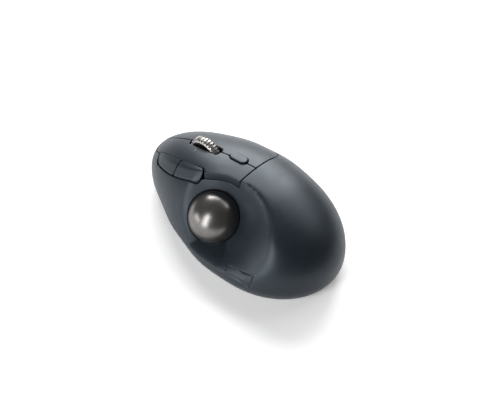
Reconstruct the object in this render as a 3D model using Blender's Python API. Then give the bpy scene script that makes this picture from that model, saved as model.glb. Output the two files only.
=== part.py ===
"""Thumb-operated trackball mouse, modelled in millimetres and written in metres.

+X is the right side, +Y the nose, +Z up. The feet rest on z = 0.
"""

from math import cos, pi, radians, sin, sqrt

import bmesh
import bpy
import numpy as np
from mathutils import Vector
from mathutils.geometry import delaunay_2d_cdt

MM = 0.001

# Outer body
PLAN_RADII = (
    41.5, 42.1, 48.2, 61.5, 72.9, 58.6, 46.5, 42.0,
    42.7, 46.7, 55.8, 67.1, 72.8, 65.9, 53.5, 44.9,
)
WAIST_Z = 13.0
CROWN_Z = 50.0
SKIRT_Z = 1.0
UNDERCUT = 5.0
WALL = 2.2
FULLNESS = 2.3
LEAN = 0.5
LEAN_AT = 150
NOSE_DROP = 0.0022

# Ball and thumb bowl
BALL = Vector((-19.6, 2.8, 22.3))
BALL_R = 17.0
AXIS = Vector((-0.578, -0.279, 0.767)).normalized()
MOUTH_R = 16.1
MOUTH_H = 6.85
BOWL_BEND = (34.5, 29.5, 19.0, 9.5, 8.0, 9.0, 10.0, 14.0, 26.0, 32.5, 32.0, 35.5)
RIM_RISE = 5.0
EJECT_R = 6.5
SENSOR = Vector((0.80, 0.10, -0.55)).normalized()

# Click plates
GAP = 0.45
KEY_GAP = 0.7
PLATE = 2.0
FRAME_DROP = 5.6
SLOT = (-1.1, 5.9, 20.4, 45.0)
THUMB_SPLIT_Y = 37.5

# Wheel
WHEEL = Vector((2.4, 31.8, 38.2))
WHEEL_R = 12.0
WHEEL_W = 5.6
RIBS = 34

# Underside
FLOOR_Z = 0.8
FLOOR_T = 2.0
BOARD_Z = 16.0
FRONT_SCREWS = ((-7.3, 56.8), (18.0, 43.0))
REAR_SCREWS = ((-24.0, -38.0), (26.0, -38.0))
FEET = ((1, 57, 24, 0), (-27, -28, 17, 118), (29.5, -27, 17, 66), (26.5, 22, 15, 112), (-27, 27, 15, 66))

Z = Vector((0, 0, 1))


# ---------------------------------------------------------------- surfaces

def round_trip(values, u):
    """Smooth periodic curve through evenly spaced values, at angle u."""
    terms = np.fft.rfft(values) / len(values)
    terms[1:-1] *= 2
    u = np.asarray(u, float)
    return sum((c * np.exp(1j * k * u)).real for k, c in enumerate(terms))


def plan_radius(u):
    return round_trip(PLAN_RADII, u)


def soft_min(a, b, k):
    return 0.5 * (a + b - np.sqrt((a - b) ** 2 + k * k))


def ease(t):
    t = np.clip(t, 0, 1)
    return t * t * (3 - 2 * t)


def reach(x, y):
    """0 at the middle of the plan, 1 at its outline."""
    return np.clip(np.hypot(x, y) / plan_radius(np.arctan2(y, x)), 0, 1)


def dome(x, y, fullness=FULLNESS):
    x, y = np.asarray(x, float), np.asarray(y, float)
    crown = CROWN_Z - NOSE_DROP * np.clip(y - 3, 0, None) ** 2
    return WAIST_Z + (crown - WAIST_Z) * (1 - reach(x, y) ** fullness) ** (1 / fullness)


def bowl(x, y):
    """Dish from the socket's mouth up to the ridge, nearly flat towards the left rim."""
    x, y = np.asarray(x, float), np.asarray(y, float)
    middle = BALL + AXIS * MOUTH_H
    dx, dy = x - middle.x, y - middle.y
    bend = 1000 / round_trip(BOWL_BEND, np.arctan2(y - BALL.y, x - BALL.x))
    lean = dx * AXIS.x + dy * AXIS.y
    a = 1 - AXIS.z ** 2
    b = -2 * AXIS.z * (lean + bend)
    c = dx * dx + dy * dy - lean * lean - MOUTH_R ** 2 - 2 * bend * lean
    inside = b * b - 4 * a * c
    root = np.sqrt(np.clip(inside, 0, None))
    return np.where(inside > 0, middle.z + (-b - root) / (2 * a), 200.0)


def skin(x, y):
    """Upper shell: a leaner left flank, scooped by the bowl, with a rounded rim where the bowl runs out."""
    x, y = np.asarray(x, float), np.asarray(y, float)
    off = (np.degrees(np.arctan2(y, x)) - LEAN_AT + 180) % 360 - 180
    lean = LEAN * np.where(np.abs(off) < 60, np.cos(np.radians(off * 1.5)) ** 2, 0)
    blend = 1.2 + 2 * ease((-6 - y) / 36) + (6 + 7 * ease((-20 - y) / 20)) * ease((-18 - x) / 20)
    scooped = soft_min(dome(x, y, FULLNESS - lean), bowl(x, y), blend)
    rear = ease((-8 - y) / 24)
    rim = WAIST_Z + (RIM_RISE + 7 * rear) * (1 - reach(x, y) ** 2) ** 0.5
    return -soft_min(-scooped, -rim, (0.8 + 8 * rear) * (1 - reach(x, y)) ** 0.5)


def key_top(y):
    return -13.2 + 0.0034 * (y - 33) ** 2


def key_edge(y):
    return -16.9 + 0.0098 * (y - 35.5) ** 2


def key_foot(y):
    return -21.1 + 0.0096 * (y - 34) ** 2


def thumb_face(x, y):
    """Thumb keys: a sloping top facet, a crisp edge and a steep side facet."""
    x, y = np.asarray(x, float), np.asarray(y, float)
    top, edge, foot = key_top(y), key_edge(y), key_foot(y)
    z_top, z_edge = dome(top, y), dome(edge, y) + 0.5
    z_foot = skin(foot, y) + 0.2
    upper = z_top + (z_edge - z_top) * (top - x) / (top - edge)
    lower = z_edge + (z_foot - z_edge) * (edge - x) / (edge - foot)
    return soft_min(upper, lower, 0.5)


# ---------------------------------------------------------------- outlines

def split_x(y):
    """Line between the two click plates."""
    return np.where(y < 32, 3.1 + 0.175 * (19.7 - y), 2.4 - 0.04 * (y - 44))


def stadium(cx, cy, length, width, angle=0.0, n=8):
    r = width / 2
    points = []
    for side in (1, -1):
        for i in range(n + 1):
            a = -side * pi / 2 + pi * i / n
            points.append((side * (length / 2 - r) + r * cos(a), r * sin(a)))
    c, s = cos(angle), sin(angle)
    return [(cx + c * px - s * py, cy + s * px + c * py) for px, py in points]


def rounded(x0, x1, y0, y1, r, n=3):
    points = []
    corners = ((x1 - r, y1 - r), (x0 + r, y1 - r), (x0 + r, y0 + r), (x1 - r, y0 + r))
    for i, (cx, cy) in enumerate(corners):
        for j in range(n + 1):
            a = pi / 2 * (i + j / n)
            points.append((cx + r * cos(a), cy + r * sin(a)))
    return points


def curve(*knots, n=5):
    """Smooth open curve through the knots (Catmull-Rom)."""
    k = np.array(knots, float)
    k = np.vstack([2 * k[0] - k[1], k, 2 * k[-1] - k[-2]])
    out = []
    for i in range(1, len(k) - 2):
        a, b, c, d = k[i - 1:i + 3]
        for t in np.arange(n) / n:
            quadratic = 2 * a - 5 * b + 4 * c - d
            cubic = 3 * b - a - 3 * c + d
            out.append(tuple(0.5 * (2 * b + (c - a) * t + quadratic * t ** 2 + cubic * t ** 3)))
    return out + [tuple(knots[-1])]


def wall_line():
    """Left edge of the left plate, above the bowl, rear to front."""
    return curve((-6.9, -4.5), (-8.2, 2.4), (-10.2, 8.0), (-12.8, 13.3), (-14.9, 17.0), n=3)


def nose_line():
    """Front edge of the plates, left to right."""
    return curve((-10.9, 60.2), (-8.6, 65.3), (-3.4, 68.7), (2.2, 69.4), (9.6, 67.2), (17.0, 59.0), n=3)


def right_line():
    """Right edge of the right plate, front to rear."""
    side = ((17.0, 59.0), (23.0, 46.5), (28.0, 31.0), (31.2, 16.0), (31.6, 5.0))
    return curve(*side, (29.6, -0.9), (25.0, -3.2), n=3)


def split_line(side):
    return [(float(split_x(y)) + side * GAP / 2, y) for y in (-4.1, 21.0, 43.0, 69.0)]


def left_outline():
    seam = [(key_top(y) + GAP, y) for y in (58.0, 52.0, 45.0, 37.5, 30.0, 23.0, 19.0)]
    step = [(-13.6, 17.8)]
    front = [p for p in nose_line()[::-1] if p[0] < 1.2]
    return split_line(-1) + front + seam + step + wall_line()[::-1]


def right_outline():
    front = [p for p in nose_line() if p[0] > 2.2]
    rear = [(float(split_x(-4.1)) + GAP / 2 + 8, -3.7)]
    return split_line(1)[::-1] + rear + right_line()[::-1] + front[::-1][1:]


def forward_outline():
    ys = np.linspace(THUMB_SPLIT_Y + KEY_GAP / 2, 54.5, 6)
    tip = [(-14.6, 57.4), (-11.4, 59.4)]
    return [(key_top(y), y) for y in (*ys, 58.0)] + tip[::-1] + [(key_foot(y), y) for y in ys[::-1]]


def back_outline():
    ys = np.linspace(21.5, THUMB_SPLIT_Y - KEY_GAP / 2, 6)
    end = [(-17.9, 19.0), (-15.8, 18.3), (-13.9, 18.9)]
    return [(key_top(y), y) for y in ys] + [(key_foot(y), y) for y in ys[::-1]] + end


def pocket_outline():
    """Opening in the shell that takes the plates and the thumb keys."""
    g = GAP
    rear = [(-6.9 - g, -4.7 - g), (7.0, -4.05 - g), (25.0, -3.2 - g)]
    right = [(x + g * 0.95, y - g * 0.4) for x, y in right_line()[::-1][1:]]
    front = [(x + g * (0.3 if x > 0 else -0.5), y + g) for x, y in nose_line()[::-1]]
    foot = [(key_foot(y) - KEY_GAP, y) for y in (54.6, 50, 44, 38, 32, 26, 21.6)]
    keys = [(-11.9, 59.9), (-15.0, 57.8)] + foot
    end = [(-18.2, 18.5), (-15.6, 17.6)]
    return rear + right + front[1:] + keys + end + [(x - g, y) for x, y in wall_line()[::-1][1:-1]]


# ---------------------------------------------------------------- solids

def new_mesh(name, points, faces, origin=(0, 0, 0)):
    mesh = bpy.data.meshes.new(name)
    o = Vector(origin)
    mesh.from_pydata([(Vector(p) - o) * MM for p in points], [], [list(map(int, f)) for f in faces])
    obj = bpy.data.objects.new(name, mesh)
    bpy.context.collection.objects.link(obj)
    obj.location = o * MM
    bm = bmesh.new()
    bm.from_mesh(mesh)
    bmesh.ops.remove_doubles(bm, verts=bm.verts, dist=1e-6)
    bmesh.ops.recalc_face_normals(bm, faces=bm.faces)
    if bm.calc_volume(signed=True) < 0:
        bmesh.ops.reverse_faces(bm, faces=bm.faces)
    bm.to_mesh(mesh)
    bm.free()
    return obj


def tube(name, profile, base, axis=Z, n=24, origin=None):
    """Solid of revolution: a closed loop of (radius, height) pairs about an axis through base."""
    base, axis = Vector(base), Vector(axis).normalized()
    side = axis.orthogonal().normalized()
    up = axis.cross(side)
    points, faces, m = [], [], len(profile)
    for i in range(n):
        a = 2 * pi * i / n
        ray = side * cos(a) + up * sin(a)
        points += [base + ray * r + axis * h for r, h in profile]
    for i in range(n):
        for j in range(m):
            k, l = (i + 1) % n, (j + 1) % m
            quad = (i * m + j, k * m + j, k * m + l, i * m + l)
            if profile[j][0] < 1e-9 and profile[l][0] < 1e-9:
                continue
            if profile[j][0] < 1e-9:
                quad = (i * m + j, k * m + l, i * m + l)
            elif profile[l][0] < 1e-9:
                quad = (i * m + j, k * m + j, i * m + l)
            faces.append(quad)
    return new_mesh(name, points, faces, base if origin is None else origin)


def rod(name, r, base, length, axis=Z, n=24, origin=None):
    return tube(name, [(0, 0), (r, 0), (r, length), (0, length)], base, axis, n, origin)


def prism(name, outline, z0, z1, origin=None):
    n = len(outline)
    points = [(x, y, z) for z in (z0, z1) for x, y in outline]
    faces = [range(n), range(n, 2 * n)] + [(i, (i + 1) % n, n + (i + 1) % n, n + i) for i in range(n)]
    middle = (sum(p[0] for p in outline) / n, sum(p[1] for p in outline) / n, z0)
    return new_mesh(name, points, faces, middle if origin is None else origin)


def block(name, centre, size, x_dir=(1, 0, 0), z_dir=(0, 0, 1), origin=None):
    c, zd = Vector(centre), Vector(z_dir).normalized()
    xd = (Vector(x_dir) - zd * Vector(x_dir).dot(zd)).normalized()
    yd = zd.cross(xd)
    corners = [c + xd * sx * size[0] / 2 + yd * sy * size[1] / 2 + zd * sz * size[2] / 2
               for sz in (-1, 1) for sy in (-1, 1) for sx in (-1, 1)]
    faces = [(0, 1, 3, 2), (4, 5, 7, 6), (0, 1, 5, 4), (2, 3, 7, 6), (0, 2, 6, 4), (1, 3, 7, 5)]
    return new_mesh(name, corners, faces, c if origin is None else origin)


def sheet(name, outline, top, bottom, step=4.0, origin=None):
    """Closed solid between two height functions, over a plan outline."""
    ring = []
    for a, b in zip(outline, outline[1:] + outline[:1]):
        n = max(1, round(np.hypot(b[0] - a[0], b[1] - a[1]) / step))
        ring += [(a[0] + (b[0] - a[0]) * i / n, a[1] + (b[1] - a[1]) * i / n) for i in range(n)]
    xs, ys = zip(*ring)
    grid = [(x, y) for x in np.arange(min(xs) + step / 2, max(xs), step)
            for y in np.arange(min(ys) + step / 2, max(ys), step)
            if min(np.hypot(x - p[0], y - p[1]) for p in ring) > 0.55 * step]
    verts = [Vector(p) for p in ring + grid]
    flat = delaunay_2d_cdt(verts, [], [list(range(len(ring)))], 1, 1e-6)
    xy, tris = [tuple(v) for v in flat[0]], [f for f in flat[2] if len(f) == 3]
    used = sorted({i for f in tris for i in f})
    index = {old: new for new, old in enumerate(used)}
    xy = [xy[i] for i in used]
    tris = [[index[i] for i in f] for f in tris]
    px, py = np.array(xy).T
    n = len(xy)
    points = [(x, y, z) for x, y, z in zip(px, py, top(px, py))]
    points += [(x, y, z) for x, y, z in zip(px, py, bottom(px, py))]
    count = {}
    for f in tris:
        for a, b in zip(f, f[1:] + f[:1]):
            count.setdefault(frozenset((a, b)), []).append((a, b))
    faces = [list(f) for f in tris] + [[i + n for i in f[::-1]] for f in tris]
    faces += [[b, a, a + n, b + n] for e in count.values() if len(e) == 1 for a, b in e]
    middle = (float(px.mean()), float(py.mean()), float(np.mean(top(px, py))))
    return new_mesh(name, points, faces, middle if origin is None else origin)


def boolean(obj, other, operation):
    modifier = obj.modifiers.new(other.name, "BOOLEAN")
    modifier.operation = operation
    modifier.solver = "EXACT"
    modifier.object = other
    other.hide_render = True
    other.display_type = "WIRE"
    return obj


def cut(obj, *others):
    for other in others:
        boolean(obj, other, "DIFFERENCE")
    return obj


def join(obj, *others):
    for other in others:
        boolean(obj, other, "UNION")
    return obj


def paint(obj, colour, roughness=0.5, metallic=0.0, smooth=False):
    material = bpy.data.materials.new(obj.name)
    material.use_nodes = True
    shader = material.node_tree.nodes["Principled BSDF"]
    shader.inputs["Base Color"].default_value = (*colour, 1)
    shader.inputs["Roughness"].default_value = roughness
    shader.inputs["Metallic"].default_value = metallic
    obj.data.materials.append(material)
    if smooth:
        obj.data.shade_smooth()
    return obj


SLATE = (0.035, 0.045, 0.06)
BLACK = (0.01, 0.01, 0.012)
GREEN = (0.02, 0.12, 0.06)
STEEL = (0.6, 0.6, 0.62)
WHITE = (0.8, 0.8, 0.8)


# ---------------------------------------------------------------- case

def body(name, inset, z_low, nu, nt):
    """Closed egg: a domed top over a waist and an undercut skirt, inset from the outer skin."""
    u = np.arange(nu) * 2 * pi / nu
    points = []
    radius = plan_radius(u)
    for j in range(1, nt + 1):
        t = sin(pi / 2 * j / nt)
        x, y = radius * t * np.cos(u), radius * t * np.sin(u)
        z = np.minimum(skin(x * 0.9999, y * 0.9999), 99) if j < nt else np.full(nu, WAIST_Z)
        points.append(np.stack([x, y, z], 1))
    for f in (0.5, 0.8, 1.0):
        r = radius - UNDERCUT * f * f
        z = WAIST_Z + (SKIRT_Z - WAIST_Z) * f
        points.append(np.stack([r * np.cos(u), r * np.sin(u), np.full(nu, z)], 1))
    grid = np.array(points)
    top = np.array([0, 0, float(skin(0, 0))])
    if inset:
        du = np.roll(grid, -1, 1) - np.roll(grid, 1, 1)
        dt = np.gradient(grid, axis=0)
        normal = np.cross(dt, du)
        normal /= np.linalg.norm(normal, axis=2, keepdims=True)
        grid = grid - inset * normal
        top[2] -= inset
        grid[-1, :, 2] = z_low
    rows = grid.reshape(-1, 3)
    points = [tuple(top)] + [tuple(p) for p in rows] + [(0, 0, float(grid[-1, :, 2].mean()))]
    last, faces = len(points) - 1, []
    m = len(grid)
    for i in range(nu):
        k = (i + 1) % nu
        faces.append((0, 1 + i, 1 + k))
        for j in range(m - 1):
            faces.append((1 + j * nu + i, 1 + (j + 1) * nu + i, 1 + (j + 1) * nu + k, 1 + j * nu + k))
        faces.append((1 + (m - 1) * nu + i, last, 1 + (m - 1) * nu + k))
    return new_mesh(name, points, faces)


def boss_top(x, y, r=3.2):
    ring = [skin(x + r * cos(a), y + r * sin(a)) for a in np.arange(8) * pi / 4]
    return float(min(ring)) - 1.0


def ball_room_profile(r):
    """Round room for the ball cup, closing in to the mouth."""
    angles = [radians(a) for a in range(-83, 9, 7)]
    room = [(0.0, -r)] + [(r * cos(a), r * sin(a)) for a in angles]
    return room + [(17.62, 2.85), (17.1, 4.6), (MOUTH_R, 6.2), (MOUTH_R, 30.0), (0.0, 30.0)]


def upper_shell():
    shell = body("upper_shell", 0, 0, 72, 13)
    cavity = body("cut_cavity", WALL, -3.0, 48, 9)
    pocket = prism("cut_pocket", pocket_outline(), 19.2, 60.0)
    ball_room = tube("cut_ball_room", ball_room_profile(18.9), BALL, AXIS, 48)
    port = prism("cut_port", [(x, y) for x, y in rounded(-4.1, 6.1, 60, 80, 1)], 12.0, 16.2)
    cut(shell, cavity, ball_room, pocket, port)
    for i, (x, y) in enumerate(REAR_SCREWS):
        top = boss_top(x, y)
        join(shell, rod(f"boss_{i}", 3.2, (x, y, 3.2), top - 3.2, n=16))
        cut(shell, rod(f"cut_bore_{i}", 1.6, (x, y, 0), 14, n=12))
    return paint(shell, SLATE, 0.42, smooth=True)


def sphere_profile(r, n, low=-1.0, high=1.0):
    """Half circle from the bottom pole to the top pole."""
    angles = np.linspace(-pi / 2, pi / 2, n + 1)
    return [(max(0.0, r * cos(a)) if 0 < i < n else 0.0, r * sin(a)) for i, a in enumerate(angles)]


def base_plate():
    u = np.arange(64) * 2 * pi / 64
    radius = plan_radius(u) - UNDERCUT - WALL - 0.4
    outline = list(zip(radius * np.cos(u), radius * np.sin(u)))
    plate = prism("base_plate", outline, FLOOR_Z, FLOOR_Z + FLOOR_T, (0, 0, FLOOR_Z))
    bay = prism("bay_walls", rounded(-11, 11, -63.6, -47.4, 2), 1.4, 8.6)
    join(plate, bay)
    cut(plate, prism("cut_bay", rounded(-9.7, 9.7, -62.3, -48.7, 1), 0, 7.4))
    cut(plate, rod("cut_eject", EJECT_R, (BALL.x, BALL.y, 0), 6, n=32))
    cut(plate, prism("cut_switch", rounded(7.3, 16.7, 7.9, 12.1, 0.6), 0, 6))
    cut(plate, rod("cut_pairing", 2.6, (4.0, 22.0, 0), 6, n=20))
    seat = [(0, 0), (3.0, 0), (3.0, 2.5), (1.7, 2.5), (1.7, 6), (0, 6)]
    for i, (x, y) in enumerate(FRONT_SCREWS + REAR_SCREWS):
        cut(plate, tube(f"cut_seat_{i}", seat, (x, y, -0.2), n=16))
    return paint(plate, BLACK, 0.55)


def button_frame():
    """Rigid floor under the click plates, with two legs that the front screws hold."""
    right = curve((9, -1.5), (24, 0), (27, 8), (26, 22), (23.5, 37), (15.5, 51), (6, 60), n=2)
    left = [(-3, 61.0), (-9, 60.0), (-9.6, 40), (-9.6, 20), (-8.2, 13), (-5.2, 5)]
    outline = [(-4.5, -2.5)] + right + left
    frame = sheet("button_frame", outline, lambda x, y: dome(x, y) - FRAME_DROP,
                  lambda x, y: dome(x, y) - FRAME_DROP - 1.6, 6.0)
    for i, (x, y) in enumerate(FRONT_SCREWS):
        top = float(dome(x, y)) - FRAME_DROP - 0.4
        join(frame, rod(f"leg_{i}", 2.9, (x, y, 3.2), top - 3.2, n=16))
        cut(frame, rod(f"cut_leg_{i}", 1.6, (x, y, 0), 13, n=12))
    cut(frame, prism("cut_well", rounded(-6.6, 13.6, 17.5, 45.5, 1.5), 20, 60))
    for i, (x, y) in enumerate(((-1.5, 52.0), (9.5, 52.0))):
        cut(frame, rod(f"cut_post_{i}", 2.3, (x, y, 10), 60, n=16))
    cut(frame, rod("cut_light", 1.5, (-4.1, 35.1, 20), 40, n=12))
    return paint(frame, BLACK, 0.6)


def click_plate(name, outline, post_x, hinge):
    plate = sheet(name, outline, dome, lambda x, y: dome(x, y) - PLATE, 4.5, hinge)
    post_y = 52.0
    top = float(dome(post_x, post_y)) - 0.8
    join(plate, rod(name + "_post", 1.4, (post_x, post_y, 24.75), top - 24.75, n=12))
    slot = prism(name + "_cut_slot", rounded(*SLOT, 2.2), 20, 70)
    well = prism(name + "_cut_pill", stadium(6.0, 8.5, 11.7 + 2 * GAP, 5.8 + 2 * GAP, radians(97)), 20, 70)
    cut(plate, slot, well)
    return plate


def click_plates():
    left = click_plate("left_button", left_outline(), -1.5, (-2.0, -4.0, 46.5))
    edge = wall_line()[:-1]
    strip = [(x + 0.1, y) for x, y in edge] + [(x + 1.9, y + 0.4) for x, y in edge[::-1]]
    wall = sheet("plate_wall", strip, lambda x, y: dome(x, y) - 0.6, lambda x, y: skin(x - 1.2, y) - 1.2, 3.0)
    join(left, wall)
    cut(left, rod("cut_lens", 0.85, (-4.1, 35.1, 30), 30, n=12))
    right = click_plate("right_button", right_outline(), 9.5, (16.0, -4.0, 46.5))
    for plate in (left, right):
        paint(plate, SLATE, 0.4)


def key_floor(x, y):
    return skin(key_foot(y), y) - 5.0


def thumb_keys():
    for name, outline in (("forward_button", forward_outline()), ("back_button", back_outline())):
        key = sheet(name, outline, thumb_face, key_floor, 2.2)
        paint(key, SLATE, 0.4)


def dpi_button():
    outline = stadium(6.0, 8.5, 11.7, 5.8, radians(97))
    key = sheet("dpi_button", outline, lambda x, y: dome(x, y) + 1.1, lambda x, y: dome(x, y) - 2.3, 2.0)
    return paint(key, SLATE, 0.4)


def status_lens():
    z = float(dome(-4.1, 35.1))
    return paint(rod("status_lens", 0.55, (-4.1, 35.1, z - 2.6), 2.65, n=12), WHITE, 0.2)


# ---------------------------------------------------------------- wheel

def wheel():
    n = RIBS * 4
    points, w = [], WHEEL_W / 2
    for x in (-w, w):
        for i in range(n):
            r = WHEEL_R - (0.0 if i % 4 < 2 else 0.7)
            a = 2 * pi * i / n
            points.append(WHEEL + Vector((x, r * cos(a), r * sin(a))))
    faces = [range(n), range(n, 2 * n)] + [(i, (i + 1) % n, n + (i + 1) % n, n + i) for i in range(n)]
    rim = new_mesh("wheel_rim", points, faces, WHEEL)
    cut(rim, rod("cut_rim", 9.9, WHEEL - Vector((9, 0, 0)), 18, (1, 0, 0), 32))
    paint(rim, STEEL, 0.25, 1.0)
    left_half = [(0, -6.9), (1.5, -6.9), (1.5, -2.4), (9.6, -2.4)]
    right_half = [(9.6, 2.4), (1.5, 2.4), (1.5, 11.0), (0, 11.0)]
    hub = tube("wheel_hub", left_half + right_half, WHEEL, (1, 0, 0), 32)
    paint(hub, BLACK, 0.5)
    yoke = block("wheel_yoke", WHEEL + Vector((0, 0, -7.4)), (14.0, 12.0, 13.2))
    cut(yoke, block("cut_yoke", WHEEL + Vector((0, 0, 0)), (11.2, 40.0, 25.6)))
    arm = block("yoke_arm", WHEEL + Vector((0, -12.0, -13.4)), (5.0, 14.0, 1.2))
    join(yoke, arm)
    for i, x in enumerate((-6.3, 6.3)):
        join(yoke, block(f"yoke_ear_{i}", WHEEL + Vector((x, -1.0, -1.4)), (1.4, 6.0, 7.2)))
    cut(yoke, rod("cut_axle", 1.62, WHEEL - Vector((12, 0, 0)), 24, (1, 0, 0), 20))
    paint(yoke, BLACK, 0.5)
    encoder = block("wheel_encoder", WHEEL + Vector((9.1, -0.6, -1.7)), (3.2, 7.0, 6.8))
    cut(encoder, rod("cut_encoder", 1.62, WHEEL + Vector((5, 0, 0)), 10, (1, 0, 0), 20))
    paint(encoder, STEEL, 0.4, 0.6)


# ---------------------------------------------------------------- ball

def ball_group():
    ball = tube("trackball", sphere_profile(BALL_R, 18), BALL, AXIS, 36)
    paint(ball, (0.25, 0.25, 0.27), 0.3, 0.9, smooth=True)
    lip = [(17.35, 2.5), (17.35, 2.9), (16.95, 4.25), (16.75, 4.25), (16.62, 4.1), (16.9, 2.9), (17.0, 2.5)]
    paint(tube("socket_ring", lip, BALL, AXIS, 40), BLACK, 0.5, smooth=True)
    angles = np.radians(np.linspace(-90, 7, 11))
    inner = [(17.5 * cos(a) if i else 0.0, 17.5 * sin(a)) for i, a in enumerate(angles)]
    outer = [(18.55 * cos(a) if i else 0.0, 18.55 * sin(a)) for i, a in enumerate(angles)]
    cup = tube("ball_cup", inner + outer[::-1], BALL, AXIS, 40)
    cut(cup, rod("cut_cup_eject", EJECT_R, (BALL.x, BALL.y, 0), 16, n=32))
    cut(cup, rod("cut_window", 3.3, BALL, 30, SENSOR, 20))
    side = AXIS.orthogonal().normalized()
    for i in range(3):
        a = 2 * pi * i / 3 + 0.6
        ray = (side * cos(a) + AXIS.cross(side) * sin(a)) * 0.86 - AXIS * 0.51
        centre = BALL + ray.normalized() * 18.35
        cut(cup, tube(f"cut_seat_ball_{i}", sphere_profile(1.5, 6), centre, AXIS, 12))
        paint(tube(f"bearing_{i + 1}", sphere_profile(1.2, 6), centre, AXIS, 12), WHITE, 0.2, smooth=True)
    paint(cup, BLACK, 0.5, smooth=True)


def sensor():
    lens = tube("sensor_lens", [(0, 0), (2.8, 0), (2.8, 2.6), (0, 2.6)], BALL + SENSOR * 19.2, SENSOR, 20)
    paint(lens, WHITE, 0.1)
    board = block("sensor_board", BALL + SENSOR * 23.6, (11, 13, 1.2), (0, 0, 1), SENSOR)
    paint(board, GREEN, 0.5)


# ---------------------------------------------------------------- electronics

def switch(name, centre, axis, size=(12.8, 5.8, 6.5), pin=0.9, reach=0.65):
    """Switch body with a bore at its top, and the pin that stands in it."""
    c, a = Vector(centre), Vector(axis).normalized()
    top = c + a * size[2] / 2
    case = block(name, c, size, (0, 1, 0), a)
    cut(case, rod(name + "_cut", pin + 0.2, top - a * 1.8, 3, a, 12))
    paint(case, BLACK, 0.5)
    paint(rod(name + "_pin", pin, top - a * 0.95, 0.95 + reach, a, 12), WHITE, 0.4)


def electronics():
    rear_right = [(-2, 13.5), (23.5, 13.5), (23.5, 43), (16, 56.5), (10, 59.5)]
    front_left = [(-3.4, 59.5), (-3.4, 53), (-10.5, 52), (-10.5, 24), (-2, 20)]
    outline = rear_right + front_left
    board = prism("main_board", outline, BOARD_Z, BOARD_Z + 1.4)
    cut(board, rod("cut_board", 3.3, (*FRONT_SCREWS[1], 10), 20, n=16))
    paint(board, GREEN, 0.5)
    top = BOARD_Z + 1.45
    switch("switch_left", (-1.5, 52, top + 3.25), Z)
    switch("switch_right", (9.5, 52, top + 3.25), Z)
    switch("switch_wheel", (WHEEL.x, 17.5, top + 3.0), Z, (6, 6, 6))
    seat = float(dome(6, 8.5)) - FRAME_DROP + 0.25
    switch("switch_dpi", (6.0, 8.5, seat + 1.0), Z, (4.5, 4.5, 2.0), 0.7, 0.85)
    side = prism("side_board", [(22, 24), (50, 24), (50, 29.0), (22, 38)], -7.6, -6.4)
    for v in side.data.vertices:
        y, z, x = v.co
        v.co = (x, y, z)
    y, z, x = side.location
    side.location = (x, y, z)
    flip(side)
    paint(side, GREEN, 0.5)
    for name, y, z in (("switch_forward", 45.0, 27.2), ("switch_back", 28.0, 33.6)):
        reach = -11.25 - 0.15 - key_top(y)
        switch(name, (-9.45, y, z), (-1, 0, 0), (6, 6, 3.6), 0.9, reach)
    paint(prism("battery", rounded(-2, 21, -46, -14, 1.5), 4.0, 9.6), STEEL, 0.45, 0.5)
    port = prism("charge_port", rounded(-3.7, 5.7, 60.5, 70.6, 0.8), 12.4, 15.7)
    cut(port, prism("cut_port_mouth", rounded(-3.1, 5.1, 63, 75, 0.6), 12.9, 15.2))
    paint(port, STEEL, 0.3, 1.0)


def flip(obj):
    bm = bmesh.new()
    bm.from_mesh(obj.data)
    bmesh.ops.recalc_face_normals(bm, faces=bm.faces)
    bm.to_mesh(obj.data)
    bm.free()


# ---------------------------------------------------------------- underside

def underside():
    knob = block("power_switch", (12, 10, 2.1), (4.6, 3.4, 2.2), origin=(12, 10, 1.0))
    join(knob, block("knob_flange", (12, 10, 3.65), (13.6, 6.0, 1.1)))
    paint(knob, BLACK, 0.5)
    profile = [(0, 1.1), (2.2, 1.1), (2.2, 3.15), (3.4, 3.15), (3.4, 4.2), (0, 4.2)]
    paint(tube("pairing_button", profile, (4.0, 22.0, 0), n=20), SLATE, 0.5)
    plug = prism("receiver", rounded(-9.2, 9.2, -61.8, -49.2, 0.8), 1.1, 6.6)
    cut(plug, prism("cut_plug", rounded(-12.0, 2.5, -60.8, -50.2, 0.5), 2.0, 5.6))
    paint(plug, STEEL, 0.35, 0.7)
    for i, (x, y, length, angle) in enumerate(FEET):
        outline = stadium(x, y, length, 6, radians(angle))
        paint(prism(f"foot_{i + 1}", outline, 0.0, FLOOR_Z - 0.05), (0.12, 0.12, 0.13), 0.35)
    for i, (x, y) in enumerate(FRONT_SCREWS + REAR_SCREWS):
        profile = [(0, 1.0), (2.6, 1.0), (2.6, 2.1), (1.3, 2.1), (1.3, 11.5), (0, 12.3)]
        screw = tube(f"screw_{i + 1}", profile, (x, y, 0), n=16)
        cut(screw, block(f"cut_drive_{i}", (x, y, 1.0), (2.6, 0.7, 1.4)))
        paint(screw, STEEL, 0.35, 1.0)


def main():
    for obj in list(bpy.data.objects):
        bpy.data.objects.remove(obj)
    upper_shell()
    base_plate()
    button_frame()
    click_plates()
    thumb_keys()
    dpi_button()
    status_lens()
    wheel()
    ball_group()
    sensor()
    electronics()
    underside()


main()
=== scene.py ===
"""Trackball mouse: the visual model, its studio and its camera. Lengths in the shape code are millimetres."""

from math import cos, degrees, pi, radians, sin, sqrt, tan

import bmesh
import bpy
import numpy as np
from mathutils import Matrix, Vector
from mathutils.geometry import delaunay_2d_cdt


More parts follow.
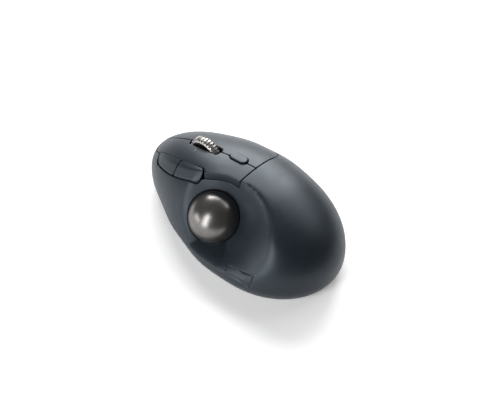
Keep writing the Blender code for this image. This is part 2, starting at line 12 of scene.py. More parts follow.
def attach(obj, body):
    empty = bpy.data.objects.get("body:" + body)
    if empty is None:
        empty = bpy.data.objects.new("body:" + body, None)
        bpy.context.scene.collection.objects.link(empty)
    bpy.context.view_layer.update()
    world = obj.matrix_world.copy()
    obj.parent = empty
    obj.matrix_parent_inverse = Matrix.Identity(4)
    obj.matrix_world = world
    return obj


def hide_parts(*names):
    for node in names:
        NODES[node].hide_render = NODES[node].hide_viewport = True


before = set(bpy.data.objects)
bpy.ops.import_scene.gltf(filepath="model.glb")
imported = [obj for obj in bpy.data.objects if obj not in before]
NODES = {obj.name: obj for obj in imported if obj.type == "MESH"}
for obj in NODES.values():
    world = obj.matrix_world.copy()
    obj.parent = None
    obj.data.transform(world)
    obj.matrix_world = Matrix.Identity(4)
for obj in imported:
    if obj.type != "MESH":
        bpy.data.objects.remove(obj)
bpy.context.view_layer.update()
MM = 0.001

# ------------------------------------------------------------------ dimensions, as in the CAD

PLAN_RADII = (
    41.5, 42.1, 48.2, 61.5, 72.9, 58.6, 46.5, 42.0,
    42.7, 46.7, 55.8, 67.1, 72.8, 65.9, 53.5, 44.9,
)
WAIST_Z = 13.0
CROWN_Z = 50.0
SKIRT_Z = 1.0
UNDERCUT = 5.0
FULLNESS = 2.3
LEAN = 0.5
LEAN_AT = 150
NOSE_DROP = 0.0022
BALL = Vector((-19.6, 2.8, 22.3))
BALL_R = 17.0
AXIS = Vector((-0.578, -0.279, 0.767)).normalized()
MOUTH_R = 16.1
MOUTH_H = 6.85
BOWL_BEND = (34.5, 29.5, 19.0, 9.5, 8.0, 9.0, 10.0, 14.0, 26.0, 32.5, 32.0, 35.5)
RIM_RISE = 5.0
GAP = 0.45
KEY_GAP = 0.7
SLOT = (-1.1, 5.9, 20.4, 45.0)
THUMB_SPLIT_Y = 37.5
WHEEL = Vector((2.4, 31.8, 38.2))
WHEEL_W = 5.6
RIBS = 34
PORT = (1.0, 14.1)
BADGE = (-38.3, -34.4, 18.0, 3.4, 99.4)
SHELL_T = 1.8
PLATE_T = 2.0
PILL_RISE = 1.1
RIB_DEPTH = 1.6
RING_STEPS = 260


# ------------------------------------------------------------------ surfaces

def round_trip(values, u):
    """Smooth periodic curve through evenly spaced values, at angle u."""
    terms = np.fft.rfft(values) / len(values)
    terms[1:-1] *= 2
    u = np.asarray(u, float)
    return sum((c * np.exp(1j * k * u)).real for k, c in enumerate(terms))


def plan_radius(u):
    return round_trip(PLAN_RADII, u)


def soft_min(a, b, k):
    return 0.5 * (a + b - np.sqrt((a - b) ** 2 + k * k))


def ease(t):
    t = np.clip(t, 0, 1)
    return t * t * (3 - 2 * t)


def reach(x, y):
    """0 at the middle of the plan, 1 at its outline."""
    return np.clip(np.hypot(x, y) / plan_radius(np.arctan2(y, x)), 0, 1)


def dome(x, y, fullness=FULLNESS):
    x, y = np.asarray(x, float), np.asarray(y, float)
    crown = CROWN_Z - NOSE_DROP * np.clip(y - 3, 0, None) ** 2
    return WAIST_Z + (crown - WAIST_Z) * (1 - reach(x, y) ** fullness) ** (1 / fullness)


def bowl(x, y):
    """Dish that starts at the socket's mouth and curves up to the ridge, nearly flat towards the left rim."""
    x, y = np.asarray(x, float), np.asarray(y, float)
    middle = BALL + AXIS * MOUTH_H
    dx, dy = x - middle.x, y - middle.y
    bend = 1000 / round_trip(BOWL_BEND, np.arctan2(y - BALL.y, x - BALL.x))
    lean = dx * AXIS.x + dy * AXIS.y
    a = 1 - AXIS.z ** 2
    b = -2 * AXIS.z * (lean + bend)
    c = dx * dx + dy * dy - lean * lean - MOUTH_R ** 2 - 2 * bend * lean
    inside = b * b - 4 * a * c
    root = np.sqrt(np.clip(inside, 0, None))
    return np.where(inside > 0, middle.z + (-b - root) / (2 * a), 200.0)


def skin(x, y):
    x, y = np.asarray(x, float), np.asarray(y, float)
    off = (np.degrees(np.arctan2(y, x)) - LEAN_AT + 180) % 360 - 180
    lean = LEAN * np.where(np.abs(off) < 60, np.cos(np.radians(off * 1.5)) ** 2, 0)
    blend = 1.2 + 2 * ease((-6 - y) / 36) + (6 + 7 * ease((-20 - y) / 20)) * ease((-18 - x) / 20)
    scooped = soft_min(dome(x, y, FULLNESS - lean), bowl(x, y), blend)
    rear = ease((-8 - y) / 24)
    rim = WAIST_Z + (RIM_RISE + 7 * rear) * (1 - reach(x, y) ** 2) ** 0.5
    return -soft_min(-scooped, -rim, (0.8 + 8 * rear) * (1 - reach(x, y)) ** 0.5)


def key_top(y):
    return -13.2 + 0.0034 * (y - 33) ** 2


def key_edge(y):
    return -16.9 + 0.0098 * (y - 35.5) ** 2


def key_foot(y):
    return -21.1 + 0.0096 * (y - 34) ** 2


def thumb_face(x, y):
    x, y = np.asarray(x, float), np.asarray(y, float)
    top, edge, foot = key_top(y), key_edge(y), key_foot(y)
    z_top, z_edge = dome(top, y), dome(edge, y) + 0.5
    z_foot = skin(foot, y) + 0.2
    upper = z_top + (z_edge - z_top) * (top - x) / (top - edge)
    lower = z_edge + (z_foot - z_edge) * (edge - x) / (edge - foot)
    return soft_min(upper, lower, 0.45)


# ------------------------------------------------------------------ outlines in plan

def spline(*knots, n=12):
    k = [2 * np.array(knots[0]) - knots[1], *map(np.array, knots), 2 * np.array(knots[-1]) - knots[-2]]
    out = []
    for i in range(1, len(k) - 2):
        for j in range(n):
            t = j / n
            a, b, c, d = k[i - 1:i + 3]
            square = (2 * a - 5 * b + 4 * c - d) * t * t
            p = 0.5 * (2 * b + (c - a) * t + square + (3 * b - a - 3 * c + d) * t ** 3)
            out.append(tuple(p))
    return out + [tuple(knots[-1])]


def resample(points, step):
    out = []
    for a, b in zip(points, points[1:] + points[:1]):
        length = np.hypot(b[0] - a[0], b[1] - a[1])
        n = max(1, round(length / step))
        out += [(a[0] + (b[0] - a[0]) * i / n, a[1] + (b[1] - a[1]) * i / n) for i in range(n)]
    keep = [out[0]]
    for p in out[1:]:
        if np.hypot(p[0] - keep[-1][0], p[1] - keep[-1][1]) > 0.35 * min(step, 0.5):
            keep.append(p)
    return keep


def stadium(cx, cy, length, width, angle=0.0, n=14):
    r = width / 2
    points = []
    for side in (1, -1):
        for i in range(n + 1):
            a = -side * pi / 2 + pi * i / n
            points.append((side * (length / 2 - r) + r * cos(a), r * sin(a)))
    c, s = cos(angle), sin(angle)
    return [(cx + c * px - s * py, cy + s * px + c * py) for px, py in points]


def rounded(x0, x1, y0, y1, r, n=8):
    points = []
    for i, (cx, cy) in enumerate(((x1 - r, y1 - r), (x0 + r, y1 - r), (x0 + r, y0 + r), (x1 - r, y0 + r))):
        for j in range(n + 1):
            a = pi / 2 * (i + j / n)
            points.append((cx + r * cos(a), cy + r * sin(a)))
    return points


def split_x(y):
    return float(np.where(y < 32, 3.1 + 0.175 * (19.7 - y), 2.4 - 0.04 * (y - 44)))


def wall_line():
    return spline((-6.9, -4.5), (-8.2, 2.4), (-10.2, 8.0), (-12.8, 13.3), (-14.9, 17.0))


def nose_line():
    return spline((-10.9, 60.2), (-8.6, 65.3), (-3.4, 68.7), (2.2, 69.4), (9.6, 67.2), (17.0, 59.0))


def right_line():
    return spline((17.0, 59.0), (23.0, 46.5), (28.0, 31.0), (31.2, 16.0), (31.6, 5.0), (29.6, -0.9),
                  (25.0, -3.2))


def deck_outline():
    """Both click plates together, counter-clockwise from the rear left corner."""
    rear = [(-6.9, -4.7), (7.0, -4.05), (25.0, -3.2)]
    seam = [(key_top(y) + GAP, y) for y in np.linspace(58.6, 19.2, 40)]
    front = right_line()[::-1][1:] + nose_line()[::-1][1:]
    return rear + front + seam + [(-13.4, 17.7)] + wall_line()[::-1][:-1]


def forward_outline():
    ys = np.linspace(THUMB_SPLIT_Y + KEY_GAP / 2, 54.2, 24)
    tip = spline((key_top(57.6), 57.6), (-11.7, 59.2), (-14.2, 57.8), (-16.4, 55.6),
                 (key_foot(54.2), 54.2), n=6)
    return [(key_top(y), y) for y in (*ys, 56.0)] + tip[:-1] + [(key_foot(y), y) for y in ys[::-1]]


def back_outline():
    ys = np.linspace(21.5, THUMB_SPLIT_Y - KEY_GAP / 2, 24)
    end = spline((key_foot(21.5), 21.5), (-18.1, 19.0), (-15.8, 18.2), (-13.9, 18.8),
                 (key_top(21.5), 21.5), n=6)
    return [(key_top(y), y) for y in ys] + [(key_foot(y), y) for y in ys[::-1]] + end[1:-1]


def pocket_outline():
    g = GAP
    rear = [(-6.9 - g, -4.7 - g), (7.0, -4.05 - g), (25.0, -3.2 - g)]
    right = [(x + g * 0.95, y - g * 0.4) for x, y in right_line()[::-1][1:]]
    front = [(x + g * (0.3 if x > 0 else -0.5), y + g) for x, y in nose_line()[::-1]]
    keys = spline((-12.0, 59.9), (-14.7, 58.3), (-17.0, 56.3), (key_foot(54.6) - KEY_GAP, 54.6), n=4)[:-1] \
        + [(key_foot(y) - KEY_GAP, y) for y in np.linspace(54.6, 21.6, 24)]
    end = spline((key_foot(21.6) - KEY_GAP, 21.6), (-18.6, 18.5), (-15.7, 17.6), n=4)[1:]
    return rear + right + front[1:] + keys + end + [(x - g, y) for x, y in wall_line()[::-1][6:]][:-1]


# ------------------------------------------------------------------ mesh helpers

def inside(points, polygon):
    """Which points lie inside the closed polygon."""
    x, y = np.asarray(points, float).T
    poly = np.asarray(polygon, float)
    hit = np.zeros(len(x), bool)
    x0, y0 = poly[-1]
    for x1, y1 in poly:
        cross = ((y1 > y) != (y0 > y))
        with np.errstate(divide="ignore", invalid="ignore"):
            at = (x0 - x1) * (y - y1) / (y0 - y1) + x1
        hit ^= cross & (x < at)
        x0, y0 = x1, y1
    return hit


def distance(points, loops):
    """Distance from each point to the nearest segment of the closed loops."""
    p = np.asarray(points, float)
    best = np.full(len(p), 1e9)
    for loop in loops:
        a = np.asarray(loop, float)
        b = np.roll(a, -1, 0)
        ab = b - a
        size = np.maximum((ab ** 2).sum(1), 1e-12)
        for i in range(0, len(p), 4000):
            q = p[i:i + 4000, None, :] - a[None]
            t = np.clip((q * ab).sum(2) / size, 0, 1)
            d = np.linalg.norm(q - t[..., None] * ab, axis=2).min(1)
            best[i:i + 4000] = np.minimum(best[i:i + 4000], d)
    return best


def triangulate(points, loops):
    """Delaunay triangles over points, with the loops (lists of indices) kept as edges."""
    edges = [(a, b) for loop in loops for a, b in zip(loop, loop[1:] + loop[:1])]
    out = delaunay_2d_cdt([Vector(p) for p in points], edges, [], 0, 1e-7)
    return np.array([tuple(v) for v in out[0]]), np.array([f for f in out[2] if len(f) == 3]), out[3]


def boundary_loops(tris):
    """Boundary of a set of triangles as loops of indices, the inside on the left."""
    seen = {}
    for f in tris:
        for a, b in zip(f, np.roll(f, -1)):
            seen[(int(a), int(b))] = True
    nxt = {}
    for a, b in seen:
        if (b, a) not in seen:
            nxt.setdefault(a, []).append(b)
    loops = []
    while nxt:
        start = next(iter(nxt))
        loop, at = [], start
        while at in nxt:
            loop.append(at)
            to = nxt[at].pop()
            if not nxt[at]:
                del nxt[at]
            at = to
        loops.append(loop)
    return loops


def region(outer, holes, step=0.5):
    """Closed outlines of outer minus holes."""
    polys = [resample(list(p), step) for p in [outer, *holes]]
    points, loops = [], []
    for poly in polys:
        loops.append(list(range(len(points), len(points) + len(poly))))
        points += poly
    xy, tris, _ = triangulate(points, loops)
    centre = xy[tris].mean(1)
    keep = inside(centre, polys[0])
    for poly in polys[1:]:
        keep &= ~inside(centre, poly)
    return [[tuple(xy[i]) for i in loop] for loop in boundary_loops(tris[keep]) if len(loop) > 8]


def grid_points(lo, hi, step):
    rows = np.arange(lo[1], hi[1], step * 0.87)
    columns = np.arange(lo[0], hi[0], step)
    return np.array([(x + (step / 2 if i % 2 else 0), y) for i, y in enumerate(rows) for x in columns])


def make(name, points, faces, sharp=35.0, normals=None):
    """Mesh object from points in millimetres, shaded smooth up to the sharp angle."""
    mesh = bpy.data.meshes.new(name)
    corners = [tuple(np.asarray(p, float) * MM) for p in points]
    mesh.from_pydata(corners, [], [tuple(map(int, f)) for f in faces])
    mesh.validate()
    bm = bmesh.new()
    bm.from_mesh(mesh)
    bmesh.ops.recalc_face_normals(bm, faces=bm.faces)
    if bm.calc_volume(signed=True) < 0:
        bmesh.ops.reverse_faces(bm, faces=bm.faces)
    bm.to_mesh(mesh)
    bm.free()
    mesh.shade_smooth()
    if sharp:
        mesh.set_sharp_from_angle(angle=radians(sharp))
    obj = bpy.data.objects.new(name, mesh)
    bpy.context.scene.collection.objects.link(obj)
    return obj


def fillet(d, r):
    """How far the surface drops at distance d from an edge rounded by r."""
    d = np.clip(d, 0, r)
    return r - np.sqrt(np.maximum(r * r - (r - d) ** 2, 0))


def round_corners(loop, reach=0.6, passes=6):
    """Closed loop with the points near its sharp corners relaxed."""
    p = np.array(loop, float)
    a, b = p - np.roll(p, 1, 0), np.roll(p, -1, 0) - p
    turn = np.abs(np.arctan2(a[:, 0] * b[:, 1] - a[:, 1] * b[:, 0], (a * b).sum(1)))
    corners = p[turn > 0.45]
    if len(corners):
        near = np.linalg.norm(p[:, None] - corners[None], axis=2).min(1) < reach
        for _ in range(passes):
            p[near] = (0.25 * np.roll(p, 1, 0) + 0.5 * p + 0.25 * np.roll(p, -1, 0))[near]
    return [tuple(q) for q in p]


def inset_rings(loops, offsets):
    """Points inset from each loop by each offset."""
    out = []
    for loop in loops:
        p = np.array(loop)
        along = np.roll(p, -1, 0) - np.roll(p, 1, 0)
        along /= np.maximum(np.linalg.norm(along, axis=1, keepdims=True), 1e-9)
        normal = np.stack([-along[:, 1], along[:, 0]], 1)
        for d in offsets:
            out.append(p + normal * d)
    return np.concatenate(out)


def panel(name, loops, top, bottom, r=0.4, step=1.3, rows=(0.06, 0.2, 0.45, 0.75, 1.05), sharp=35.0):
    """Closed moulded panel: a surface with rounded edges, straight walls and an underside."""
    rings = inset_rings(loops, [r * f for f in rows])
    flat = np.concatenate([np.array(loop) for loop in loops])
    grid = grid_points(flat.min(0), flat.max(0), step)
    loose = np.concatenate([rings, grid])
    good = inside(loose, loops[0])
    for hole in loops[1:]:
        good &= ~inside(loose, hole)
    d = distance(loose, loops)
    floor = np.concatenate([np.full(len(loop), f * r * 0.8) for loop in loops for f in rows])
    floor = np.concatenate([floor, np.full(len(grid), r * rows[-1] + step * 0.35)])
    loose = loose[good & (d >= floor)]
    points, index = [], []
    for loop in loops:
        index.append(list(range(len(points), len(points) + len(loop))))
        points += loop
    xy, tris, _ = triangulate(points + [tuple(p) for p in loose], index)
    centre = xy[tris].mean(1)
    keep = inside(centre, loops[0])
    for hole in loops[1:]:
        keep &= ~inside(centre, hole)
    tris = tris[keep]
    used = np.unique(tris)
    remap = np.full(len(xy), -1)
    remap[used] = np.arange(len(used))
    xy, tris = xy[used], remap[tris]
    d = distance(xy, loops)
    z = top(xy[:, 0], xy[:, 1]) - fillet(d, r)
    low = bottom(xy[:, 0], xy[:, 1], d)
    n = len(xy)
    points = np.concatenate([np.column_stack([xy, z]), np.column_stack([xy, low])])
    faces = [tuple(f) for f in tris] + [(f[2] + n, f[1] + n, f[0] + n) for f in tris]
    for loop in boundary_loops(tris):
        faces += [(b, a, a + n, b + n) for a, b in zip(loop, loop[1:] + loop[:1])]
    return make(name, points, faces, sharp)


def lathe(name, profile, base, axis, n=96, closed=True, sharp=35.0):
    """Solid of revolution: (radius, height) points, from axis to axis or a closed loop."""
    base, axis = Vector(base), Vector(axis).normalized()
    side = axis.orthogonal().normalized()
    up = axis.cross(side)
    points, faces, rows = [], [], []
    for r, h in profile:
        if r < 1e-6:
            rows.append([len(points)] * n)
            points.append(base + axis * h)
        else:
            rows.append(list(range(len(points), len(points) + n)))
            turns = [2 * pi * i / n for i in range(n)]
            points += [base + axis * h + (side * cos(a) + up * sin(a)) * r for a in turns]
    loop = closed and profile[0][0] > 1e-6
    for a, b in zip(rows, rows[1:] + (rows[:1] if loop else [])):
        for i in range(n):
            k = (i + 1) % n
            face = tuple(dict.fromkeys((a[i], a[k], b[k], b[i])))
            if len(face) > 2:
                faces.append(face)
    return make(name, points, faces, sharp)


def dress(obj, body, material, *nodes, slot=None):
    """Gives a piece its material and its body, and hides the CAD nodes it stands for."""
    obj.data.materials.clear()
    obj.data.materials.append(material)
    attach(obj, body)
    if nodes:
        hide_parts(*nodes)
    return obj


# ------------------------------------------------------------------ shell

CHART = 100.0
CHART_SKIRT = 17.0


def to_chart(xy):
    """Plan points to a flat chart on which the dome spreads out evenly."""
    x, y = np.asarray(xy, float).T
    u = np.arctan2(y, x)
    t = np.clip(np.hypot(x, y) / plan_radius(u), 0, 1)
    s = np.arcsin(t) * 2 / pi * CHART
    return np.column_stack([s * np.cos(u), s * np.sin(u)])


def lift(c):
    """Chart points to the outer surface: dome and bowl, then the skirt under the waist."""
    s, u = np.hypot(c[:, 0], c[:, 1]), np.arctan2(c[:, 1], c[:, 0])
    radius = plan_radius(u)
    f = np.clip((s - CHART) / CHART_SKIRT, 0, 1.05)
    t = np.sin(np.clip(s / CHART, 0, 1) * pi / 2)
    r = np.where(s < CHART, radius * t, radius - UNDERCUT * f * f)
    x, y = r * np.cos(u), r * np.sin(u)
    top = np.maximum(skin(x, y), WAIST_Z + (CHART - s) * 0.12)
    z = np.where(s < CHART - 1e-6, top, WAIST_Z + (SKIRT_Z - WAIST_Z) * f)
    return np.column_stack([x, y, z])


def badge(spread=0.0):
    """Outline of the shallow groove on the left flank, grown by spread."""
    x, y, length, width, turn = BADGE
    return resample(stadium(x, y, length + 2 * spread, width + 2 * spread, radians(turn)), 0.45)


def mouth_ring(radius, n=150):
    """Where a cylinder round the ball axis meets the outer surface, in plan."""
    side = AXIS.orthogonal().normalized()
    up = AXIS.cross(side)
    out = []
    for i in range(n):
        a = 2 * pi * i / n
        foot = BALL + (side * cos(a) + up * sin(a)) * radius
        h = np.arange(3.0, 20.0, 0.01)
        path = np.array(foot)[None] + np.array(AXIS)[None] * h[:, None]
        over = path[:, 2] > skin(path[:, 0], path[:, 1])
        out.append(tuple(path[int(np.argmax(over)), :2]))
    return out


def axis_radius(p):
    v = p - np.array(BALL)
    along = v @ np.array(AXIS)
    return np.linalg.norm(v - along[:, None] * np.array(AXIS), axis=1)


def ring(s, n):
    return [(s * cos(2 * pi * i / n), s * sin(2 * pi * i / n)) for i in range(n)]


def shell():
    pocket = round_corners(resample(pocket_outline(), 0.5))
    mouth = mouth_ring(MOUTH_R)
    rim = ring(CHART + CHART_SKIRT, RING_STEPS)
    fixed = [rim, [tuple(p) for p in to_chart(pocket)], [tuple(p) for p in to_chart(mouth)]]
    shares = (0.985, 0.96, 0.9, 0.8, 0.68, 0.56, 0.44, 0.32, 0.21, 0.1, 0)
    rows = [ring(CHART + CHART_SKIRT * f, RING_STEPS) for f in shares]
    rows += [ring(CHART - d, RING_STEPS) for d in (1.6, 3.3)]
    grid = grid_points((-CHART, -CHART), (CHART, CHART), 1.55)
    grid = grid[np.hypot(*grid.T) < CHART - 4.4]
    edges = to_chart(inset_rings([pocket[::-1]], (0.06, 0.15, 0.28, 0.42, 0.7, 1.1)))
    lips = np.concatenate([to_chart(mouth_ring(MOUTH_R + d)) for d in (0.05, 0.14, 0.27, 0.4, 0.7, 1.2)])
    grid = grid[distance(grid, fixed[1:]) > 2.2]
    groove = np.concatenate([to_chart(badge(d)) for d in (-0.5, -0.3, -0.12, 0.12, 0.3, 0.5)])
    near = distance(grid, [[tuple(p) for p in to_chart(badge())]]) > 1.3
    loose = np.concatenate([np.concatenate([np.array(r) for r in rows]), grid[near], edges, lips, groove])
    for loop in fixed[1:]:
        loose = loose[~inside(loose, loop)]
    points, index = [], []
    for loop in fixed:
        index.append(list(range(len(points), len(points) + len(loop))))
        points += loop
    flat, tris, _ = triangulate(points + [tuple(p) for p in loose], index)
    centre = flat[tris].mean(1)
    keep = ~inside(centre, fixed[1]) & ~inside(centre, fixed[2])
    tris = tris[keep]
    used = np.unique(tris)
    remap = np.full(len(flat), -1)
    remap[used] = np.arange(len(used))
    flat, tris = flat[used], remap[tris]
    outer = lift(flat)
    east = lift(flat + (0.05, 0)) - lift(flat - (0.05, 0))
    north = lift(flat + (0, 0.05)) - lift(flat - (0, 0.05))
    normal = np.cross(east, north)
    normal /= np.linalg.norm(normal, axis=1, keepdims=True)
    to_pocket = distance(outer[:, :2], [pocket])
    to_mouth = np.abs(axis_radius(outer) - MOUTH_R) + np.where(outer[:, 2] < 12, 50, 0)
    to_lip = np.where(np.hypot(*flat.T) > CHART, outer[:, 2] - SKIRT_Z, 50)
    down = np.array((0, 0, 1.0))
    outer = outer - down * fillet(to_pocket, 0.42)[:, None] - np.array(AXIS) * fillet(to_mouth, 0.4)[:, None]
    groove_depth = 0.4 * np.clip(1 - (distance(outer[:, :2], [badge()]) / 0.45) ** 2, 0, 1)
    outer = outer - normal * np.where(outer[:, 2] > WAIST_Z + 0.3, groove_depth, 0)[:, None]
    outward = outer[:, :2] / np.linalg.norm(outer[:, :2], axis=1, keepdims=True)
    outer[:, :2] -= outward * fillet(to_lip, 0.6)[:, None]
    near_pocket = np.clip(1 - to_pocket / 3, 0, 1)[:, None]
    near_mouth = np.clip(1 - to_mouth / 3, 0, 1)[:, None]
    inward = normal * SHELL_T
    inward = inward * (1 - near_pocket) + down * 2.6 * near_pocket
    away = outer - np.array(BALL)
    away -= (away @ np.array(AXIS))[:, None] * np.array(AXIS)
    away /= np.linalg.norm(away, axis=1, keepdims=True)
    inward = inward * (1 - near_mouth) + (np.array(AXIS) * 2.3 - away * 0.75) * near_mouth
    near_lip = np.clip(1 - to_lip / 3, 0, 1)[:, None]
    inward = inward * (1 - near_lip) + np.column_stack([outward * 1.9, np.zeros(len(outer))]) * near_lip
    n = len(outer)
    faces = [tuple(f) for f in tris] + [(f[2] + n, f[1] + n, f[0] + n) for f in tris]
    for loop in boundary_loops(tris):
        faces += [(b, a, a + n, b + n) for a, b in zip(loop, loop[1:] + loop[:1])]
    obj = make("shell", np.concatenate([outer, outer - inward]), faces, 38)
    port = prism("port_cutter", rounded(PORT[0] - 5.1, PORT[0] + 5.1, 0, 4.2, 1.6), 60, 80)
    port.data.transform(PORT_TURN)
    port.data.flip_normals()
    return carve(obj, port)


PORT_TURN = Matrix(((1, 0, 0, 0), (0, 0, 1, 0), (0, 1, 0, 12.0 * MM), (0, 0, 0, 1)))


def prism(name, outline, z0, z1, chamfer=0.0):
    """Straight solid over an outline, its top and bottom edges chamfered."""
    p = np.array(outline, float)
    if chamfer:
        small = inset_rings([outline], [chamfer])
        layers = [(small, z0), (p, z0 + chamfer), (p, z1 - chamfer), (small, z1)]
    else:
        layers = [(p, z0), (p, z1)]
    n = len(p)
    points = [(x, y, z) for q, z in layers for x, y in q]
    faces = [tuple(range(n))[::-1], tuple(range((len(layers) - 1) * n, len(layers) * n))]
    for j in range(len(layers) - 1):
        low, high = j * n, (j + 1) * n
        faces += [(low + i, low + (i + 1) % n, high + (i + 1) % n, high + i) for i in range(n)]
    return make(name, points, faces, 40)


def carve(obj, *cutters, sharp=38):
    """Cuts the cutters out of obj for good, and removes them."""
    for cutter in cutters:
        modifier = obj.modifiers.new("cut", "BOOLEAN")
        modifier.operation, modifier.solver, modifier.object = "DIFFERENCE", "EXACT", cutter
    bpy.context.view_layer.update()
    graph = bpy.context.evaluated_depsgraph_get()
    mesh = bpy.data.meshes.new_from_object(obj.evaluated_get(graph))
    obj.modifiers.clear()
    obj.data = mesh
    for cutter in cutters:
        bpy.data.objects.remove(cutter)
    mesh.shade_smooth()
    mesh.set_sharp_from_angle(angle=radians(sharp))
    return obj


# ------------------------------------------------------------------ plates and keys

def plate_loops():
    seam = [(split_x(y) - GAP / 2, y) for y in np.linspace(-9, 72, 90)]
    seam += [(split_x(y) + GAP / 2, y) for y in np.linspace(-9, 72, 90)[::-1]]
    pill = stadium(6.0, 8.5, 11.7 + 2 * GAP, 5.8 + 2 * GAP, radians(97))
    loops = region(deck_outline(), [rounded(*SLOT, 2.2), pill, seam], 0.4)
    loops = sorted(loops, key=len)[-2:]
    return sorted((round_corners(loop) for loop in loops), key=lambda loop: np.mean([p[0] for p in loop]))


def plates():
    left, right = plate_loops()
    wall = wall_line()

    def under(x, y, d):
        flat = dome(x, y) - PLATE_T
        to_wall = distance(np.column_stack([x, y]), [wall + wall[-2:0:-1]])
        deep = np.minimum(flat, skin(x - 1.0, y) - 0.9)
        return np.where(to_wall < 1.7, deep, flat)

    hole = stadium(-4.1, 35.1, 1.25, 1.25, n=8)
    return (panel("plate_left", [left, hole[::-1]], dome, under, 0.4),
            panel("plate_right", [right], dome, lambda x, y, d: dome(x, y) - PLATE_T, 0.4))


def thumb_keys():
    def under(x, y, d):
        return skin(key_foot(y), y) - 3.5

    out = []
    for name, outline in (("key_forward", forward_outline()), ("key_back", back_outline())):
        loop = round_corners(resample(outline, 0.35), 0.5)
        out.append(panel(name, [loop], thumb_face, under, 0.3, 0.45))
    return out


def pill_key():
    loop = resample(stadium(6.0, 8.5, 11.7, 5.8, radians(97)), 0.35)

    def top(x, y):
        return dome(x, y) + PILL_RISE

    def under(x, y, d):
        return dome(x, y) - PLATE_T

    return panel("key_pill", [loop], top, under, 0.55, 0.6)


# ------------------------------------------------------------------ wheel and ball

def ribbed_rim():
    """Metal rim: smooth side faces, and rounded ribs with deep grooves across the tread."""
    per = 12
    n = RIBS * per
    w = WHEEL_W / 2
    wave = []
    for i in range(per):
        a = abs((i / per) * 2 - 1)
        slope = 0.5 * (1 + cos(pi * (a - 0.3) / 0.3))
        wave.append(0.0 if a > 0.6 else RIB_DEPTH if a < 0.3 else RIB_DEPTH * slope)
    stations = [
        (-w, 9.9, 0), (-w, 10.3, 0), (-w + 0.12, 10.5, 0), (-w + 0.3, 11.2, 0.35), (-w + 0.7, 11.75, 0.85),
        (-w + 1.2, 12.0, 1), (0, 12.0, 1), (w - 1.2, 12.0, 1),
        (w - 0.7, 11.75, 0.85), (w - 0.3, 11.2, 0.35), (w - 0.12, 10.5, 0), (w, 10.3, 0), (w, 9.9, 0),
    ]
    points, faces = [], []
    for x, r, depth in stations:
        for i in range(n):
            a = 2 * pi * i / n
            q = r - wave[i % per] * depth
            points.append(WHEEL + Vector((x, q * cos(a), q * sin(a))))
    m = len(stations)
    for j in range(m):
        k = (j + 1) % m
        faces += [(j * n + i, j * n + (i + 1) % n, k * n + (i + 1) % n, k * n + i) for i in range(n)]
    return make("wheel_tread", points, faces, 42)


def wheel_core():
    profile = [
        (0, -6.9), (1.3, -6.9), (1.5, -6.7), (1.5, -2.0), (3.0, -1.9), (3.4, -1.2), (8.3, -1.2),
        (8.8, -2.4), (9.75, -2.4), (9.8, -2.2), (9.8, 2.2), (9.75, 2.4), (8.8, 2.4),
        (8.3, 1.2), (3.4, 1.2), (3.0, 1.9), (1.5, 2.0), (1.5, 10.8), (1.3, 11.0), (0, 11.0),
    ]
    return lathe("wheel_core", profile, WHEEL, (1, 0, 0), 72)


def ball():
    rows = [(BALL_R * sin(pi * i / 96), -BALL_R * cos(pi * i / 96)) for i in range(97)]
    rows[0], rows[-1] = (0, -BALL_R), (0, BALL_R)
    return lathe("ball", rows, BALL, AXIS, 192, sharp=0)


def socket_lip():
    profile = [
        (16.9, 2.95), (16.66, 3.9), (16.56, 4.2), (16.6, 4.38), (16.75, 4.45),
        (18.1, 4.45), (18.2, 4.35), (18.2, 2.95),
    ]
    return lathe("socket_lip", profile, BALL, AXIS, 160, sharp=50)


# ------------------------------------------------------------------ materials

class Nodes:
    """Small helper for writing a material's node tree."""

    def __init__(self, name):
        self.material = bpy.data.materials.new(name)
        self.material.use_nodes = True
        self.tree = self.material.node_tree
        self.shader = self.tree.nodes["Principled BSDF"]
        self.place = self.add("ShaderNodeTexCoord").outputs["Object"]

    def add(self, kind, inputs=None, **settings):
        node = self.tree.nodes.new(kind)
        for key, value in settings.items():
            setattr(node, key, value)
        for key, value in (inputs or {}).items():
            if isinstance(value, bpy.types.NodeSocket):
                self.tree.links.new(value, node.inputs[key])
            else:
                node.inputs[key].default_value = value
        return node

    def stretch(self, scale, turn=(0, 0, 0)):
        inputs = {"Vector": self.place, "Scale": scale, "Rotation": turn}
        return self.add("ShaderNodeMapping", inputs).outputs[0]

    def noise(self, scale, detail=3.0, rough=0.5, at=None):
        inputs = {"Vector": at or self.place, "Scale": scale, "Detail": detail, "Roughness": rough}
        return self.add("ShaderNodeTexNoise", inputs).outputs["Fac"]

    def spread(self, value, low, high, first=0.3, last=0.7):
        inputs = {"Value": value, "From Min": first, "From Max": last, "To Min": low, "To Max": high}
        return self.add("ShaderNodeMapRange", inputs).outputs[0]

    def blend(self, factor, a, b):
        node = self.add("ShaderNodeMix", data_type="RGBA")
        for socket, value in ((node.inputs[0], factor), (node.inputs[6], a), (node.inputs[7], b)):
            if isinstance(value, bpy.types.NodeSocket):
                self.tree.links.new(value, socket)
            elif isinstance(value, tuple):
                socket.default_value = (*value, 1)
            else:
                socket.default_value = value
        return node.outputs[2]

    def bump(self, height, strength, distance, below=None):
        inputs = {"Height": height, "Strength": strength, "Distance": distance}
        if below:
            inputs["Normal"] = below
        return self.add("ShaderNodeBump", inputs).outputs[0]

    def finish(self, colour=None, roughness=None, normal=None, **fixed):
        links = {"Base Color": colour, "Roughness": roughness, "Normal": normal}
        for key, value in links.items():
            if isinstance(value, bpy.types.NodeSocket):
                self.tree.links.new(value, self.shader.inputs[key])
            elif isinstance(value, tuple):
                self.shader.inputs[key].default_value = (*value, 1)
            elif value is not None:
                self.shader.inputs[key].default_value = value
        for key, value in fixed.items():
            self.shader.inputs[key.replace("_", " ")].default_value = value
        return self.material


